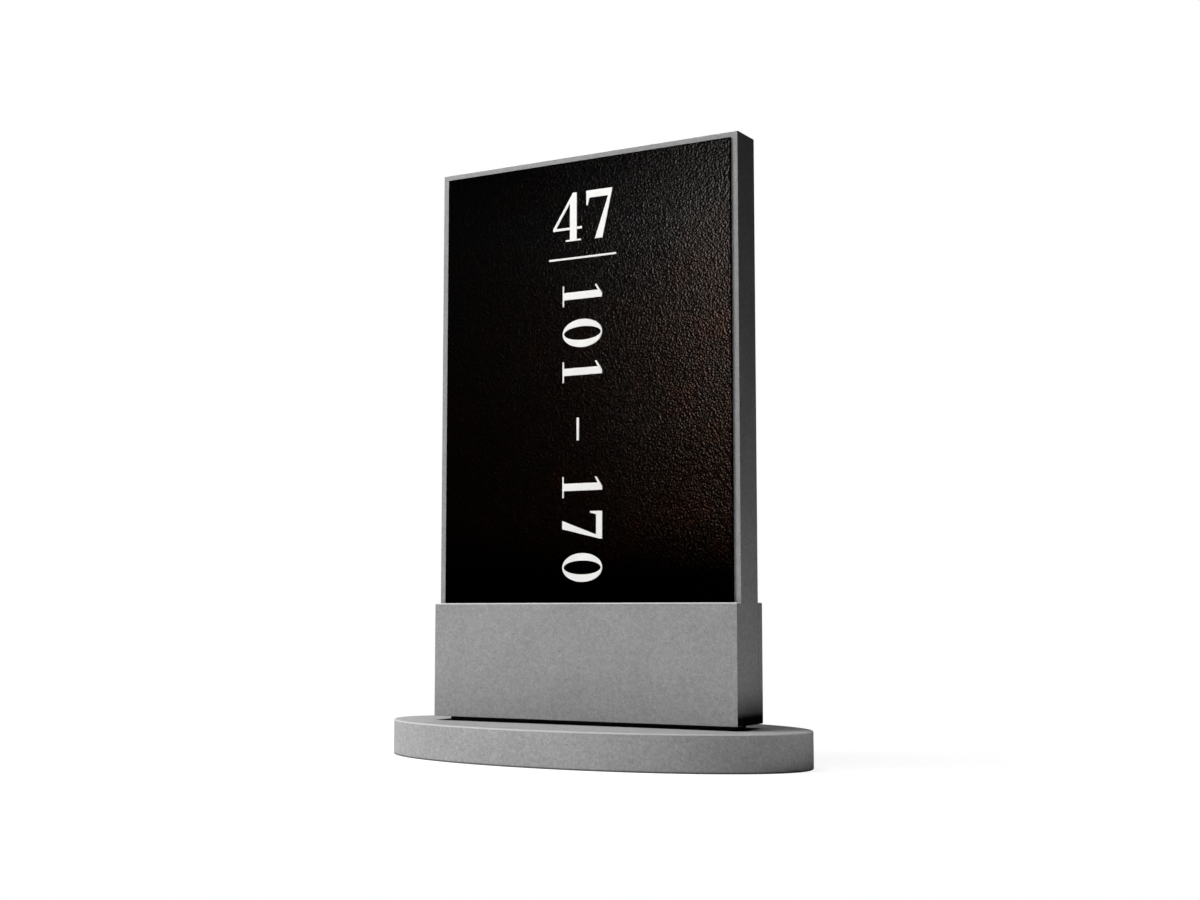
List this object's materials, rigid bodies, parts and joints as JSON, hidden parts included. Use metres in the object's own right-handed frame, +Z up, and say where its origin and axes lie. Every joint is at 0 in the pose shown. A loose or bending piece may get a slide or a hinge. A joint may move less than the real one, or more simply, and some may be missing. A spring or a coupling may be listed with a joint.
{
  "type": "street number plinth sign",
  "caption": "Free-standing two-sided number sign: dark textured face panels with white numerals on a concrete-clad blade and plinth over an oval concrete base slab.",
  "frame": {"origin": "centre of the base slab's underside", "axes": "+X along the sign's face, +Y through the sign from front to rear, +Z up"},
  "size_m": [1.21, 0.544, 1.585],
  "materials": {
    "cast_concrete": "matte",
    "concrete_cladding": "matte",
    "backing_board": "matte",
    "dark_textured_plate": "satin",
    "white_numerals": "satin",
    "galvanised_frame": "satin",
    "black_foot": "matte",
    "rubber_bedding": "matte",
    "zinc_fixings": "satin",
    "stainless_studs": "satin",
    "nylon_clips": "matte"
  },
  "bodies": {
    "stand": {"base_slab": "cast_concrete", "cheek_left": "concrete_cladding", "cheek_right": "concrete_cladding", "top_cap": "concrete_cladding", "board_front": "backing_board", "board_rear": "backing_board", "post_left": "galvanised_frame", "post_right": "galvanised_frame", "post_gussets": "galvanised_frame", "lower_rail": "galvanised_frame", "middle_rail": "galvanised_frame", "top_rail": "galvanised_frame", "base_plate": "black_foot", "bedding_pad": "rubber_bedding", "anchor_ferrules": "zinc_fixings", "anchor_studs": "zinc_fixings", "anchor_washers": "zinc_fixings", "anchor_nuts": "zinc_fixings", "cheek_inserts": "zinc_fixings", "cheek_spacers": "zinc_fixings", "cheek_bolts": "zinc_fixings", "cap_inserts": "zinc_fixings", "cap_spacers": "zinc_fixings", "cap_bolts": "zinc_fixings", "board_screws_front": "zinc_fixings", "board_screws_rear": "zinc_fixings", "panel_bushes_front": "nylon_clips", "panel_bushes_rear": "nylon_clips", "cover_bushes_front": "nylon_clips", "cover_bushes_rear": "nylon_clips", "post_plugs": "nylon_clips"},
    "front_panel": {"face_panel_front": "dark_textured_plate", "panel_studs_front": "stainless_studs", "digit_four_front": "white_numerals", "digit_seven_front": "white_numerals", "divider_bar_front": "white_numerals", "range_ones_front": "white_numerals", "range_zeros_front": "white_numerals", "range_seven_front": "white_numerals", "range_dash_front": "white_numerals"},
    "rear_panel": {"face_panel_rear": "dark_textured_plate", "panel_studs_rear": "stainless_studs", "digit_four_rear": "white_numerals", "digit_seven_rear": "white_numerals", "divider_bar_rear": "white_numerals", "range_ones_rear": "white_numerals", "range_zeros_rear": "white_numerals", "range_seven_rear": "white_numerals", "range_dash_rear": "white_numerals"},
    "front_cover": {"plinth_cover_front": "concrete_cladding", "cover_studs_front": "stainless_studs"},
    "rear_cover": {"plinth_cover_rear": "concrete_cladding", "cover_studs_rear": "stainless_studs"}
  },
  "joints": [
    {"name": "front_panel_pull", "type": "slide", "parent": "stand", "child": "front_panel", "axis": [0, -1, 0], "range_m": [0, 0.06]},
    {"name": "front_cover_pull", "type": "slide", "parent": "stand", "child": "front_cover", "axis": [0, -1, 0], "range_m": [0, 0.08]},
    {"name": "rear_panel_pull", "type": "slide", "parent": "stand", "child": "rear_panel", "axis": [0, 1, 0], "range_m": [0, 0.06]},
    {"name": "rear_cover_pull", "type": "slide", "parent": "stand", "child": "rear_cover", "axis": [0, 1, 0], "range_m": [0, 0.08]}
  ]
}
